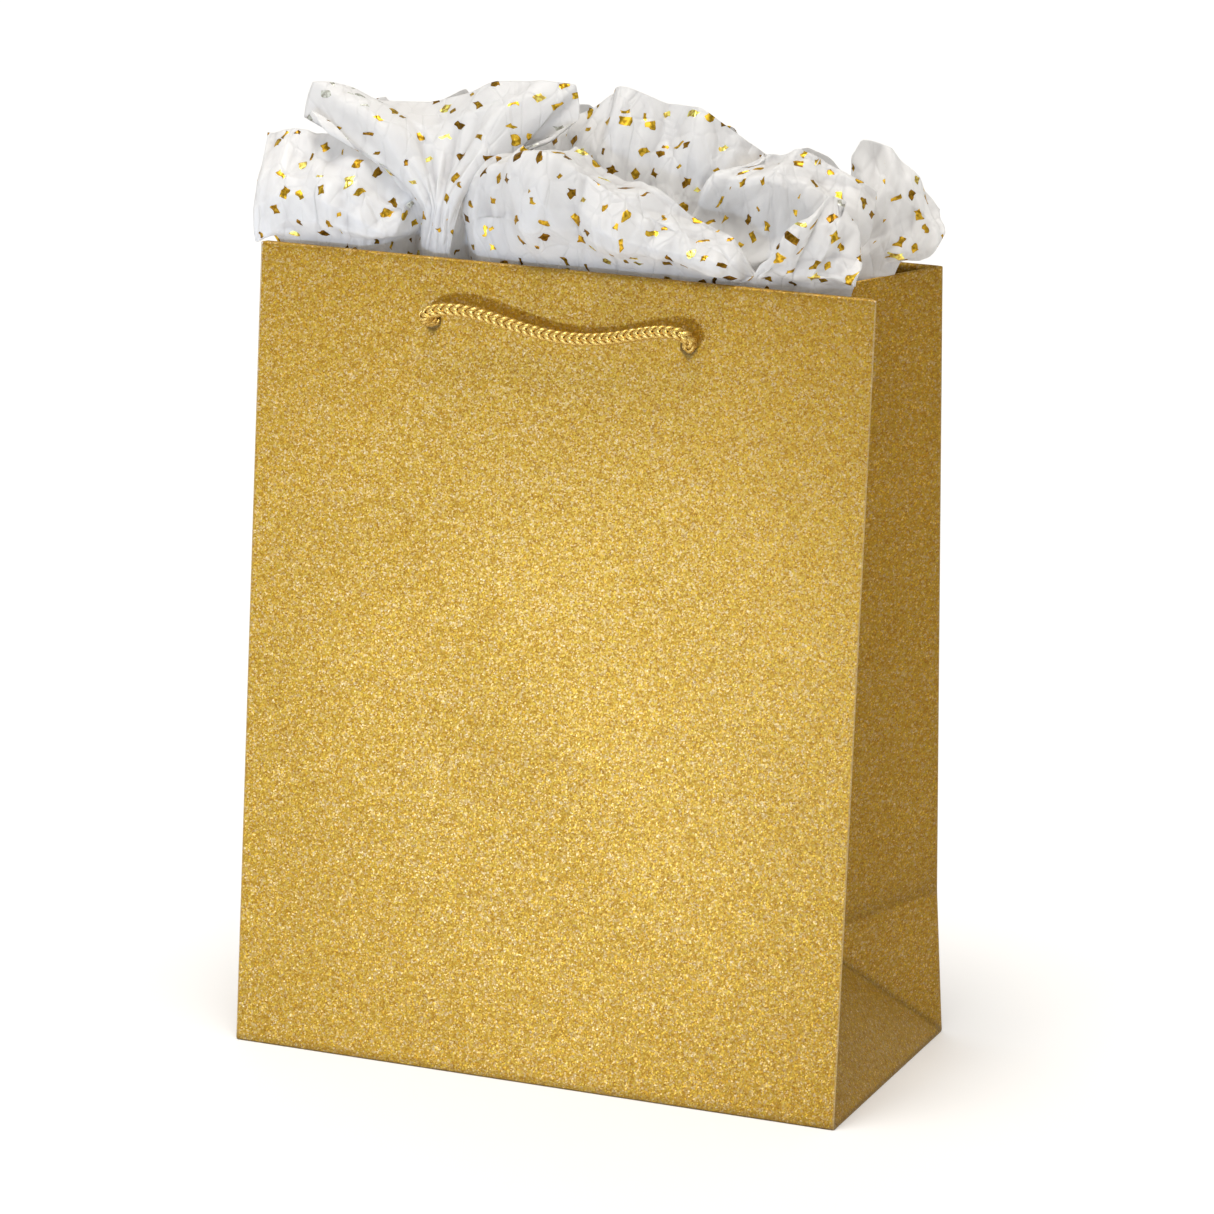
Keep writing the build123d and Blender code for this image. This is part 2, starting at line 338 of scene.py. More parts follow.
# A flake's half length and half width: the least, and how much chance adds.
FLAKE_LENGTH = (0.8 * MM, 0.9 * MM)
FLAKE_WIDTH = (0.45 * MM, 0.95 * MM)
GOLD_FOIL = [
    (0.0, (0.30, 0.16, 0.015)),
    (0.22, (0.52, 0.31, 0.025)),
    (0.55, (0.70, 0.45, 0.04)),
    (0.85, (0.98, 0.76, 0.18)),
]
PALE_FOIL = [(0.0, (0.42, 0.43, 0.38)), (0.5, (0.55, 0.56, 0.50))]
# Painted sheen on the foil: what its colour is multiplied by, lighter and darker in small patches.
PAINTED_FOIL_SHEEN = [(0.4, (0.62, 0.58, 0.52)), (0.6, (1.3, 1.3, 1.3))]
SHEEN_NOISE = (900.0, 1.0)
FIBRE_NOISE = (160.0, 5.0, 0.8)
TISSUE_TONES = [(0.35, (0.92, 0.91, 0.905)), (0.65, (0.965, 0.958, 0.95))]
# What the paper is multiplied by, from painted shade in a sharp hollow to a painted highlight on a sharp
# ridge.
FOLD_SHADE_AND_HIGHLIGHT = [
    (0.0, (0.79, 0.78, 0.78)),
    (0.45, (0.97, 0.97, 0.97)),
    (0.55, (0.98, 0.98, 0.98)),
    (1.0, (1.03, 1.03, 1.03)),
]
# Cells a metre and depth of creases, in a wide net of them and a fine one.
CREASE_NETS = ((70.0, 0.5 * MM), (150.0, 0.3 * MM))
# The share of the light that the paper sends back. The rest goes through.
TISSUE_OPAQUE = 0.46


def flakes(tree, flat):
    """Scattered angular flakes on the flat paper, as a mask and a chance value for each. Every cell has one,
    turned its own way, except at a seam of two strips, where the strip's number isn't whole."""
    bends = noise(tree, flat, *BEND_NOISE)["Color"]
    bent = vector_node(tree, "MULTIPLY_ADD", {0: bends, 1: (FLAKE_BEND,) * 3, 2: flat})
    layout = {"Vector": bent, "Scale": 1 / FLAKE_SPACING, "Randomness": 0.85}
    cells = add(tree, "TexVoronoi", layout, voronoi_dimensions="2D").outputs
    chance = add(tree, "SeparateColor", {"Color": cells["Color"]}).outputs
    offset = vector_node(tree, "SUBTRACT", {0: bent, 1: cells["Position"]})
    turn = {"Vector": offset, "Angle": math_node(tree, "MULTIPLY", chance["Blue"], math.tau)}
    turned = add(tree, "VectorRotate", turn, rotation_type="Z_AXIS").outputs[0]
    place = add(tree, "SeparateXYZ", {"Vector": turned}).outputs
    reach = []
    for axis, part, (least, more) in (("X", "Red", FLAKE_LENGTH), ("Y", "Green", FLAKE_WIDTH)):
        half = math_node(tree, "MULTIPLY_ADD", chance[part], more, least)
        reach.append(math_node(tree, "DIVIDE", math_node(tree, "ABSOLUTE", place[axis]), half))
    inside = math_node(tree, "LESS_THAN", math_node(tree, "MAXIMUM", *reach), 1.0)
    strip = add(tree, "SeparateXYZ", {"Vector": flat}).outputs["Z"]
    on_strip = math_node(tree, "LESS_THAN", math_node(tree, "PINGPONG", strip, 0.5), 0.01)
    mask = math_node(tree, "MULTIPLY", inside, on_strip)
    return mask, math_node(tree, "FRACT", math_node(tree, "MULTIPLY", chance["Red"], 7.0))


def tissue_tone(tree, place, mask, foil):
    """The paper's colour, by its fibres and with painted shade and highlight on its folds, and the foil's,
    with a painted sheen, where the mask says.
    """
    sheen = ramp(tree, noise(tree, place, *SHEEN_NOISE)["Fac"], PAINTED_FOIL_SHEEN)
    foil = mix(tree, 1.0, foil, sheen, "MULTIPLY")
    paper = ramp(tree, noise(tree, place, *FIBRE_NOISE)["Fac"], TISSUE_TONES)
    # Painted shade in the hollows of the folds and a painted highlight on their ridges.
    folded = ramp(tree, stored(tree, "fold")["Fac"], FOLD_SHADE_AND_HIGHLIGHT)
    return mix(tree, mask, mix(tree, 1.0, paper, folded, "MULTIPLY"), foil)


def creased_normal(tree, place):
    """Fine creases that run mostly up the sheet, where the cells of each net meet."""
    upright = add(tree, "Mapping", {"Vector": place, "Scale": (1.0, 1.0, 0.35)}).outputs[0]
    normal = add(tree, "NewGeometry").outputs["Normal"]
    for scale, depth in CREASE_NETS:
        cells = {"Vector": upright, "Scale": scale}
        net = add(tree, "TexVoronoi", cells, feature="DISTANCE_TO_EDGE").outputs["Distance"]
        height = math_node(tree, "MULTIPLY", math_node(tree, "MINIMUM", net, 0.06), 16.0)
        normal = bump(tree, height, 0.6, depth, Normal=normal)
    return normal


def make_tissue_material(name, foil, metallic):
    """White tissue, half see-through, with scattered flakes of the given foil."""
    material, tree, shader = new_material(name)
    place = object_place(tree)
    mask, chance = flakes(tree, stored(tree, "flat")["Vector"])
    looks = {"Base Color": tissue_tone(tree, place, mask, ramp(tree, chance, foil, "CONSTANT"))}
    looks["Metallic"] = math_node(tree, "MULTIPLY", mask, metallic)
    looks["Normal"] = creased_normal(tree, place)
    looks["Roughness"] = 0.42
    set_inputs(tree, shader, looks)
    glow = add(tree, "BsdfTranslucent", {"Color": (0.96, 0.955, 0.945, 1)}).outputs[0]
    opaque = math_node(tree, "MULTIPLY_ADD", mask, 1 - TISSUE_OPAQUE, TISSUE_OPAQUE)
    both = add(tree, "MixShader", {0: opaque, 1: glow, 2: shader.outputs[0]}).outputs[0]
    tree.links.new(both, tree.nodes["Material Output"].inputs["Surface"])
    return material


TISSUE = make_tissue_material("tissue_paper", GOLD_FOIL, 1.0)
TISSUE_BACK = make_tissue_material("tissue_paper_back", PALE_FOIL, 0.25)


# ------ mesh helpers

def new_object(name, vertices, faces, materials, smooth=True):
    """A mesh object of the given vertices and faces."""
    mesh = bpy.data.meshes.new(name)
    mesh.from_pydata([tuple(v) for v in vertices], [], faces)
    mesh.update()
    for material in materials:
        mesh.materials.append(material)
    piece = add_object(name, mesh)
    if smooth:
        mesh.shade_smooth()
    return piece


def grid_faces(rows, columns):
    """Quads over a grid of vertices numbered row by row."""
    faces = []
    for r in range(rows - 1):
        for c in range(columns - 1):
            first = r * columns + c
            faces.append((first, first + 1, first + columns + 1, first + columns))
    return faces


def unit(vectors):
    """The vectors with a length of one each."""
    return vectors / np.linalg.norm(vectors, axis=-1, keepdims=True)


def put_values(piece, name, values):
    """Store a value or a place for each of the piece's vertices, for its material to read."""
    kind, field = ("FLOAT", "value") if values.ndim == 2 else ("FLOAT_VECTOR", "vector")
    layer = piece.data.attributes.new(name, kind, "POINT")
    layer.data.foreach_set(field, values.astype(np.float32).ravel())


def add_thickness(piece, thickness):
    """Thicken a sheet inwards, with its second material on the inside."""
    solid = piece.modifiers.new("thickness", "SOLIDIFY")
    solid.thickness = thickness
    solid.offset = -1
    solid.material_offset = 1
    apply_modifiers(piece)


def apply_modifiers(piece):
    """Put the piece's modifiers into its mesh."""
    bpy.context.view_layer.update()
    evaluated = piece.evaluated_get(bpy.context.evaluated_depsgraph_get())
    mesh = bpy.data.meshes.new_from_object(evaluated)
    piece.modifiers.clear()
    piece.data = mesh


def finish_piece(piece, body, nodes):
    """Ride the piece on its body, and hide the CAD nodes it stands for."""
    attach(piece, body)
    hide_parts(*nodes)


make_camera()
make_studio()


# ------ places on the panels

def on_front(u, out, up):
    """A point across, out from and up along the front panel."""
    rise = FRONT_TOP / HEIGHT
    return Vector((u, -HALF_DEPTH + up * SLOPE - out * rise, up * rise + out * SLOPE))


def on_back(u, out, up):
    """The same on the back panel, seen from behind, which bends at its crease."""
    rise = (BACK_TOP - CREASE_UP) / BACK_RUN
    if up < HALF_DEPTH:
        low_rise = CREASE_UP / HALF_DEPTH
        low_slope = BACK_CREASE_IN / HALF_DEPTH
        return Vector((-u, HALF_DEPTH - up * low_slope + out * low_rise, up * low_rise + out * low_slope))
    above = up - HALF_DEPTH
    y = HALF_DEPTH - BACK_CREASE_IN - above * BACK_SLOPE + out * rise
    return Vector((-u, y, CREASE_UP + above * rise + out * BACK_SLOPE))


# ------ cords

# The handle's route in millimetres: across the panel, out from its outer face, and up along it from the base.
# It runs from the left knot up the inside, out through the hole, across, and down to the right knot.
LEFT_TAIL = [
    (-42.5, -5.8, 166.0), (-41.9, -6.2, 178.0), (-43.0, -6.1, 193.5), (-42.2, -6.5, 209.5),
    (-43.2, -7.1, 225.0), (-42.4, -6.8, 233.0), (-42.0, -4.2, 236.3), (-42.0, 0.05, 236.5),
]
LOOP = [
    (-42.0, 2.4, 236.9), (-42.7, 5.6, 237.8), (-40.6, 8.2, 239.9), (-35.8, 8.8, 241.4),
    (-29.8, 8.0, 241.7), (-22.5, 7.0, 240.6), (-13.5, 6.0, 238.4), (-3.0, 5.4, 236.3),
    (8.0, 5.2, 235.7), (18.5, 5.4, 237.0), (28.0, 6.2, 239.5), (35.2, 7.2, 241.1),
    (40.9, 7.4, 241.3), (44.2, 5.4, 239.6), (43.6, 2.4, 236.9),
]
RIGHT_TAIL = [
    (42.0, 0.05, 236.5), (42.0, -4.2, 236.3), (42.3, -6.8, 233.2), (42.8, -7.0, 225.5),
    (41.6, -6.4, 210.5), (42.7, -6.2, 194.5), (41.7, -6.2, 179.0), (42.3, -5.8, 166.0),
]


def smooth_line(name, points):
    """The points along the NURBS curve that a route's points control."""
    curve = bpy.data.curves.new(name, "CURVE")
    curve.dimensions = "3D"
    curve.resolution_u = 24
    spline = curve.splines.new("NURBS")
    spline.points.add(len(points) - 1)
    for point, place in zip(spline.points, points):
        point.co = (*place, 1)
    spline.order_u = 3
    spline.use_endpoint_u = True
    holder = add_object(name, curve)
    mesh = bpy.data.meshes.new_from_object(holder)
    line = np.array([v.co for v in mesh.vertices])
    bpy.data.objects.remove(holder)
    bpy.data.curves.remove(curve)
    bpy.data.meshes.remove(mesh)
    return line


def even_line(line, step):
    """The same line with its points a steady step apart."""
    lengths = np.r_[0, np.cumsum(np.linalg.norm(np.diff(line, axis=0), axis=1))]
    count = max(2, int(round(lengths[-1] / step)) + 1)
    at = np.linspace(0, lengths[-1], count)
    return np.column_stack([np.interp(at, lengths, line[:, i]) for i in range(3)]), at


def frames_along(line):
    """Two directions square to the line at each point, carried along it without twisting."""
    tangents = unit(np.gradient(line, axis=0))
    side = unit(np.cross(tangents[0], (0.0, 1.0, 0.2)))
    sides = []
    for tangent in tangents:
        side = unit(side - tangent * (side @ tangent))
        sides.append(side)
    sides = np.array(sides)
    return sides, np.cross(tangents, sides)


# The braid: its length a stitch, its middle radius, and how far a thread goes out and in.
BRAID_PITCH = 2.5 * MM
BRAID_RADIUS = 1.35 * MM
BRAID_WEAVE = 0.42 * MM
# Threads each way round, how often each goes out in a turn, and what turns a column of stitches to the front.
CARRIERS = 4
COLUMNS = 2
BRAID_PHASE = math.radians(75)
# A thread's half width and half thickness, the sides it has and the length of its steps.
THREAD = (0.78 * MM, 0.46 * MM)
THREAD_SIDES = 8
THREAD_STEP = 0.3 * MM
# A knot's trefoil: its size, its points, the angle where it is cut open, and its depth, middle and foot as
# shares of its size.
KNOT_SIZE = 3.0 * MM
KNOT_POINTS = 12
KNOT_CUT = 0.35
KNOT_DEPTH = 0.42
KNOT_MIDDLE = 1.15
KNOT_FOOT = 2.2
# How far a knot's line starts above the cord's end, and how far its loose end hangs.
KNOT_LEAD = 2 * MM
LOOSE_END = 6 * MM


def thread_mesh(path, outward):
    """Vertices and faces of a thread on a path, closed at its ends and thin along the outward directions."""
    wide, thin = THREAD
    sides = THREAD_SIDES
    b = unit(outward)
    a = unit(np.cross(b, unit(np.gradient(path, axis=0))))
    rings = []
    for angle in np.linspace(0, math.tau, sides, endpoint=False):
        rings.append(path + a * (wide * math.cos(angle)) + b * (thin * math.sin(angle)))
    vertices = np.stack(rings, axis=1).reshape(-1, 3)
    count = len(path)
    faces = []
    for i in range(count - 1):
        for j in range(sides):
            k = (j + 1) % sides
            faces.append((i * sides + j, i * sides + k, (i + 1) * sides + k, (i + 1) * sides + j))
    faces.append(tuple(reversed(range(sides))))
    faces.append(tuple((count - 1) * sides + j for j in range(sides)))
    return vertices, faces


def braid(line):
    """A round braid on a line: threads wind both ways, each over the others in its own columns."""
    path, at = even_line(line, THREAD_STEP)
    a, b = frames_along(path)
    turn = math.tau / (CARRIERS * BRAID_PITCH)
    vertices, faces = [], []
    total = 0
    for way in (1, -1):
        for carrier in range(CARRIERS):
            angle = way * (turn * at + math.tau * carrier / CARRIERS)
            radius = BRAID_RADIUS + way * BRAID_WEAVE * np.cos(COLUMNS * angle)
            seen = angle + BRAID_PHASE
            outward = a * np.cos(seen)[:, None] + b * np.sin(seen)[:, None]
            points, quads = thread_mesh(path + outward * radius[:, None], outward)
            vertices.append(points)
            faces += [tuple(i + total for i in quad) for quad in quads]
            total += len(points)
    return np.vstack(vertices), faces


def knot_line(top, down, across):
    """An overhand knot below a point, as a trefoil whose two ends run out along the cord."""
    size = KNOT_SIZE
    side = down.cross(across).normalized()
    points = [top - down * KNOT_LEAD, top + down * (KNOT_LEAD / 2)]
    centre = top + down * (size * KNOT_MIDDLE)
    for k in range(1, KNOT_POINTS):
        t = math.tau * k / KNOT_POINTS + KNOT_CUT
        u = (math.sin(t) + 2 * math.sin(2 * t)) / 3
        v = (math.cos(t) - 2 * math.cos(2 * t)) / 3
        w = -math.sin(3 * t) * KNOT_DEPTH
        points.append(centre + across * (u * size) + side * (w * size) + down * (-v * size))
    points.append(top + down * (KNOT_FOOT * size))
    points.append(top + down * (KNOT_FOOT * size + LOOSE_END))
    return [tuple(p) for p in points]


def make_knot(name, side, body, end, before):
    """The knot at an end of a handle's route, given that point and the one before it."""
    top = Vector(end)
    down = (top - Vector(before)).normalized()
    route = smooth_line(f"{name}_{side}_knot_route", knot_line(top, down, Vector((1, 0, 0))))
    knot = new_object(f"{name}_{side}_knot", *braid(route), [GOLD_CORD])
    finish_piece(knot, body, [f"{name}_handle_{side}_knot"])
    return knot


def make_handle(name, place, body):
    """One handle: a braided cord from knot to knot, bending at its holes."""
    route = [tuple(place(*(v * MM for v in p))) for p in LEFT_TAIL + LOOP + RIGHT_TAIL]
    line = smooth_line(f"{name}_route", route)
    left = make_knot(name, "left", body, route[0], route[1])
    right = make_knot(name, "right", body, route[-1], route[-2])
    cord = new_object(f"{name}_handle_cord", *braid(line), [GOLD_CORD])
    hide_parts(*[f"{name}_handle_{part}" for part in ("left_tail", "loop", "right_tail")])
    tuple(place(0, -0.5 * MM, HOLE_UP))
    tuple(place(0, 5 * MM, HOLE_UP))
    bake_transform(cord)


make_handle("front", on_front, "front")
make_handle("back", on_back, "bag")


# ------ the bag's skin

CREASE_WIDTH = 2.0 * MM
# The right gusset's middle fold: the tip of its foot triangle, and its top at the rim.
APEX = np.array((HALF_WIDTH - APEX_IN, 0, 42.6 * MM))
FOLD_TOP = np.array((60.4 * MM, -1.65 * MM, 247.2 * MM))
BOTTOM_ROUND = 1.0 * MM
# The rod that cuts a hole: its sides, and where it starts and ends, out from the panel.
HOLE_SIDES = 32
HOLE_REACH = (4 * MM, -8 * MM)
# How far the painted shade round a hole reaches beyond its edge, and how dark it is.
HOLE_SHADE_REACH = 0.3 * MM
HOLE_SHADE = 0.8
# How far inside the outer paper the turned-in hem lies, and its share of the side's width.
PANEL_HEM = (2.4 * MM, 0.955)
GUSSET_HEM = (1.0 * MM, 0.93)
RIM_TURNS = 9
HEM_ROWS = 14
# The width and rounding of a side's rubbed edges, and how rubbed the rim is and where in its turn inside.
RUBBED_WIDTH = 3 * MM
ROUNDED_OFF = 0.16 * MM
RIM_WEAR = 0.15
RIM_WORN_AT = 0.3
# How far a panel ripples, and a gusset dips at its level crease, fading above and below it.
RIPPLE = 0.22 * MM
CREASE_DIP = 1.3 * MM
DIP_ABOVE = 9 * MM
DIP_BELOW = 14 * MM
# The painted shade along the bottom fold and a gusset's creases and edges: how dark it is, and how wide, the
# level crease's above and below.
BOTTOM_DARK = 0.7
BOTTOM_FADE = 1.6
SLANT_DARK = (0.50, 1.3 * MM)
LEVEL_DARK = (0.30, 6 * MM, 0.8 * MM)
EDGE_DARK = (0.12, 2.5 * MM)
# The meshes' columns and rows, which lie close where the paper bends. The even ones start a little off.
EDGE_COLUMNS = 9
EDGE_BAND = 2.4 * MM
PANEL_COLUMNS = 65
COLUMNS_FROM = 5 * MM
PANEL_ROWS = 70
ROWS_FROM = 3 * MM
CREASE_ROWS = 7
CREASE_BAND = 1.5 * MM
CREASE_CLEAR = 2.5 * MM
GUSSET_COLUMNS = 103
GUSSET_ROWS = 60
GUSSET_STEP = 1 * MM
CLOSE_TO = 8 * MM
EVEN_FROM = 11 * MM


def front_line(x, s):
    """The front panel's outer face at x across and s up the paper."""
    return np.stack([x + 0 * s, -HALF_DEPTH + s * SLOPE, s * FRONT_TOP / HEIGHT], axis=-1)


def back_line(x, s):
    """The back panel's outer face at x across and s up the paper, with its crease."""
    low = np.minimum(s, HALF_DEPTH)
    high = np.maximum(s - HALF_DEPTH, 0)
    y = HALF_DEPTH - low * BACK_CREASE_IN / HALF_DEPTH - high * BACK_SLOPE
    z = low * CREASE_UP / HALF_DEPTH + high * (BACK_TOP - CREASE_UP) / BACK_RUN
    return np.stack([x + 0 * s, y, z], axis=-1)


def gusset(c, s):
    """The right gusset at c back from its middle and s up the paper. It folds inwards along its middle, above
    a foot triangle that stands on the base."""
    half = HALF_DEPTH
    front = (c < 0)[..., None]
    inner = np.clip(1 - np.abs(c) / half, 0, 1)[..., None]
    rise = (s / half)[..., None]
    edge = np.where(front, front_line(HALF_WIDTH, s), back_line(HALF_WIDTH, s))
    climb = np.maximum((s - half) / (HEIGHT - half), 0)[..., None]
    fold = APEX + (FOLD_TOP - APEX) * climb
    upper = edge + (fold - edge) * inner
    corner = np.stack([HALF_WIDTH + 0 * c, np.sign(c) * half, 0 * c], axis=-1)
    level = half + 0 * c
    shoulder = np.where(front, front_line(HALF_WIDTH, level), back_line(HALF_WIDTH, level))
    side = corner + (shoulder - corner) * (rise - inner) + (APEX - corner) * inner
    base_edge = np.stack([HALF_WIDTH + 0 * c, c, 0 * c], axis=-1)
    foot = base_edge + (APEX - np.array((HALF_WIDTH, 0, 0))) * rise
    return np.where(rise > 1, upper, np.where(rise < inner, foot, side))


def sharp_skin(p, s):
    """The bag's outer face at p round its girth, from the front's middle, and s up the paper."""
    girth = 2 * (WIDTH + DEPTH)
    p = (p + girth / 2) % girth - girth / 2
    turned = np.abs(p)
    front = front_line(turned, s)
    fold = gusset(np.clip(turned - HALF_WIDTH - HALF_DEPTH, -HALF_DEPTH, HALF_DEPTH), s)
    back = back_line(WIDTH + DEPTH - turned, s)
    at = turned[..., None]
    points = np.where(at < HALF_WIDTH, front, np.where(at > HALF_WIDTH + DEPTH, back, fold))
    points[..., 0] *= np.where(p < 0, -1, 1)
    return points


def skin(p, s):
    """The outer face with every crease rounded, as the mean over a small square of paper."""
    offsets = np.linspace(-0.5, 0.5, 7) * CREASE_WIDTH
    return np.mean([sharp_skin(p + dp, s + ds) for dp in offsets for ds in offsets], axis=0)


def skin_frame(p, s):
    """Points of the skin, with the directions into the bag and up the paper."""
    step = 0.5 * MM
    across = skin(p + step, s) - skin(p - step, s)
    up = skin(p, s + step) - skin(p, s - step)
    return skin(p, s), unit(np.cross(up, across)), unit(up)


def ripple(c, s):
    """A panel's slight unevenness: nothing at its edges and under its stiffener."""
    slack = np.cos(math.pi * c / WIDTH) * np.sin(math.pi * np.clip(s / (HEIGHT - HEM), 0, 1))
    wave = np.sin(c / (15 * MM) + s / (26 * MM)) + np.sin(s / (12 * MM) - c / (23 * MM) + 2)
    return RIPPLE * slack * wave


def crease_dip(c, s):
    """How far a gusset gives way inwards along its level crease, most just at the crease."""
    above = np.exp(-np.maximum(s - HALF_DEPTH, 0) / DIP_ABOVE)
    below = np.exp(-np.maximum(HALF_DEPTH - s, 0) / DIP_BELOW)
    return CREASE_DIP * above * below * (1 - (c / HALF_DEPTH) ** 4)


def base_shade(c, s):
    """How dark the paper is at s up: darkest along its bottom fold, all the way across. c, across, is not
    used.
    """
    # Painted shade: the bottom fold is darkened, as if in the bag's shadow where it meets the floor.
    return BOTTOM_DARK * np.clip(BOTTOM_FADE - s / BOTTOM_ROUND, 0, 1)


def gusset_shade(c, s):
    """Painted shade as in base_shade, and along a gusset's slanting creases, its level one and its edges."""
    slant = np.abs(np.abs(c) + s - HALF_DEPTH) / SLANT_DARK[1]
    over = np.maximum(s - HALF_DEPTH, 0) / LEVEL_DARK[1]
    under = np.maximum(HALF_DEPTH - s, 0) / LEVEL_DARK[2]
    edge = np.abs(np.abs(c) - HALF_DEPTH) / EDGE_DARK[1]
    folds = SLANT_DARK[0] * np.exp(-slant**2) + LEVEL_DARK[0] * np.exp(-over - under)
    return np.maximum(folds + EDGE_DARK[0] * np.exp(-edge), base_shade(c, s))


def folded_rows(heights, gap):
    """Rows up a sheet: its rounded bottom fold, its outer face, the fold over the rim and the hem. Each is a
    height up the paper, a lift along it, an inset into the bag, and its share of the turn to the inside."""
    rows = []
    for turn in np.radians((90, 60, 30)):
        rows.append((BOTTOM_ROUND, -BOTTOM_ROUND * math.sin(turn), BOTTOM_ROUND * (1 - math.cos(turn)), 0))
    rows += [(s, 0, 0, 0) for s in heights if BOTTOM_ROUND <= s <= HEIGHT - gap / 2]
    for turn in np.radians(np.linspace(0, 180, RIM_TURNS)):
        lift = gap / 2 * math.sin(turn)
        rows.append((HEIGHT - gap / 2, lift, gap / 2 * (1 - math.cos(turn)), turn / math.pi))
    rows += [(s, 0, gap, 1) for s in np.linspace(HEIGHT - gap / 2 - 2 * MM, HEIGHT - HEM, HEM_ROWS)]
    return np.array(rows)


def folded_sheet(name, middle, columns, heights, hem, relief, shade):
    """A side of the bag as one sheet, glitter outside and white inside, turned in at the rim. middle is its
    middle round the girth, relief how far each place is pushed in, and shade how dark it is."""
    gap, narrow = hem
    s, lift, inset, turned = folded_rows(heights, gap).T[:, :, None]
    c = columns[None, :] * (1 - (1 - narrow) * turned)
    s, lift, inset = (np.broadcast_to(v, c.shape) for v in (s, lift, inset))
    points, inward, up = skin_frame(middle + c, s)
    inset = inset + relief(c, s)
    worn = np.linalg.norm(points - sharp_skin(middle + c, s), axis=-1)
    points = points + up * lift[..., None] + inward * inset[..., None]
    rim = np.clip(1 - np.abs(turned - RIM_WORN_AT) / RIM_WORN_AT, 0, 1)
    piece = new_object(name, points.reshape(-1, 3), grid_faces(*c.shape), [GLITTER, LINING])
    at_edge = np.abs(np.abs(c) - np.abs(columns).max()) < RUBBED_WIDTH
    put_values(piece, "wear", np.clip(worn / ROUNDED_OFF, 0, 1) * at_edge + RIM_WEAR * rim)
    # Painted shade, on the outer face only.
    put_values(piece, "shade", shade(c, s) * (turned == 0))
    add_thickness(piece, PAPER)
    return piece


def cutter(place, across):
    """A short rod through a panel at one of its handle holes."""
    sides = HOLE_SIDES
    vertices = []
    for out in HOLE_REACH:
        for angle in np.linspace(0, math.tau, sides, endpoint=False):
            u = across + HOLE_RADIUS * math.cos(angle)
            vertices.append(place(u, out, HOLE_UP + HOLE_RADIUS * math.sin(angle)))
    faces = [(i, (i + 1) % sides, sides + (i + 1) % sides, sides + i) for i in range(sides)]
    faces += [tuple(reversed(range(sides))), tuple(range(sides, 2 * sides))]
    return new_object("hole_cutter", vertices, faces, [], smooth=False)


def punch_holes(piece, place):
    """Cut the two handle holes through the panel and its hem, each with painted shade round its edge."""
    for across in (-HOLE_X, HOLE_X):
        rod = cutter(place, across)
        cut = piece.modifiers.new("hole", "BOOLEAN")
        cut.operation = "DIFFERENCE"
        cut.solver = "EXACT"
        cut.object = rod
        apply_modifiers(piece)
        bpy.data.objects.remove(rod)
        # Painted shade round the hole, as if in its shadow.
        middle = Vector(place(across, 0, HOLE_UP))
        for vertex, shade in zip(piece.data.vertices, piece.data.attributes["shade"].data):
            if (vertex.co - middle).length < HOLE_RADIUS + HOLE_SHADE_REACH:
                shade.value = HOLE_SHADE
    piece.data.shade_smooth()
    piece.data.set_sharp_from_angle(angle=math.radians(40))


def make_walls():
    """The front and back panels, each with its hem turned in over its stiffener."""
    edge = np.linspace(0, EDGE_BAND, EDGE_COLUMNS)
    inside = np.linspace(-HALF_WIDTH + COLUMNS_FROM, HALF_WIDTH - COLUMNS_FROM, PANEL_COLUMNS)
    columns = np.r_[edge - HALF_WIDTH, inside, HALF_WIDTH - edge[::-1]]
    plain = np.linspace(ROWS_FROM, HEIGHT - ROWS_FROM, PANEL_ROWS)
    crease = HALF_DEPTH + np.linspace(-CREASE_BAND, CREASE_BAND, CREASE_ROWS)
    creased = np.sort(np.r_[plain[np.abs(plain - HALF_DEPTH) > CREASE_CLEAR], crease])
    front = ("front", "front", on_front, 0, plain)
    back = ("back", "bag", on_back, WIDTH + DEPTH, creased)
    for side, body, place, middle, heights in (front, back):
        piece = folded_sheet(f"{side}_wall", middle, columns, heights, PANEL_HEM, ripple, base_shade)
        punch_holes(piece, place)
        finish_piece(piece, body, [f"{side}_panel", f"{side}_hem"])


def make_gussets():
    """The two folded sides, which hide their CAD parts."""
    columns = np.linspace(-HALF_DEPTH, HALF_DEPTH, GUSSET_COLUMNS)
    low = np.arange(BOTTOM_ROUND, HALF_DEPTH + CLOSE_TO, GUSSET_STEP)
    heights = np.r_[low, np.linspace(HALF_DEPTH + EVEN_FROM, HEIGHT - GUSSET_STEP, GUSSET_ROWS)]
    for side, middle in (("right", HALF_WIDTH + HALF_DEPTH), ("left", -HALF_WIDTH - HALF_DEPTH)):
        name = f"{side}_gusset"
        piece = folded_sheet(name, middle, columns, heights, GUSSET_HEM, crease_dip, gusset_shade)
        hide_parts(*[f"{side}_gusset_{part}" for part in ("front", "back", "foot", "hem")])
        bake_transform(piece)


make_walls()
make_gussets()


# ------ tissue

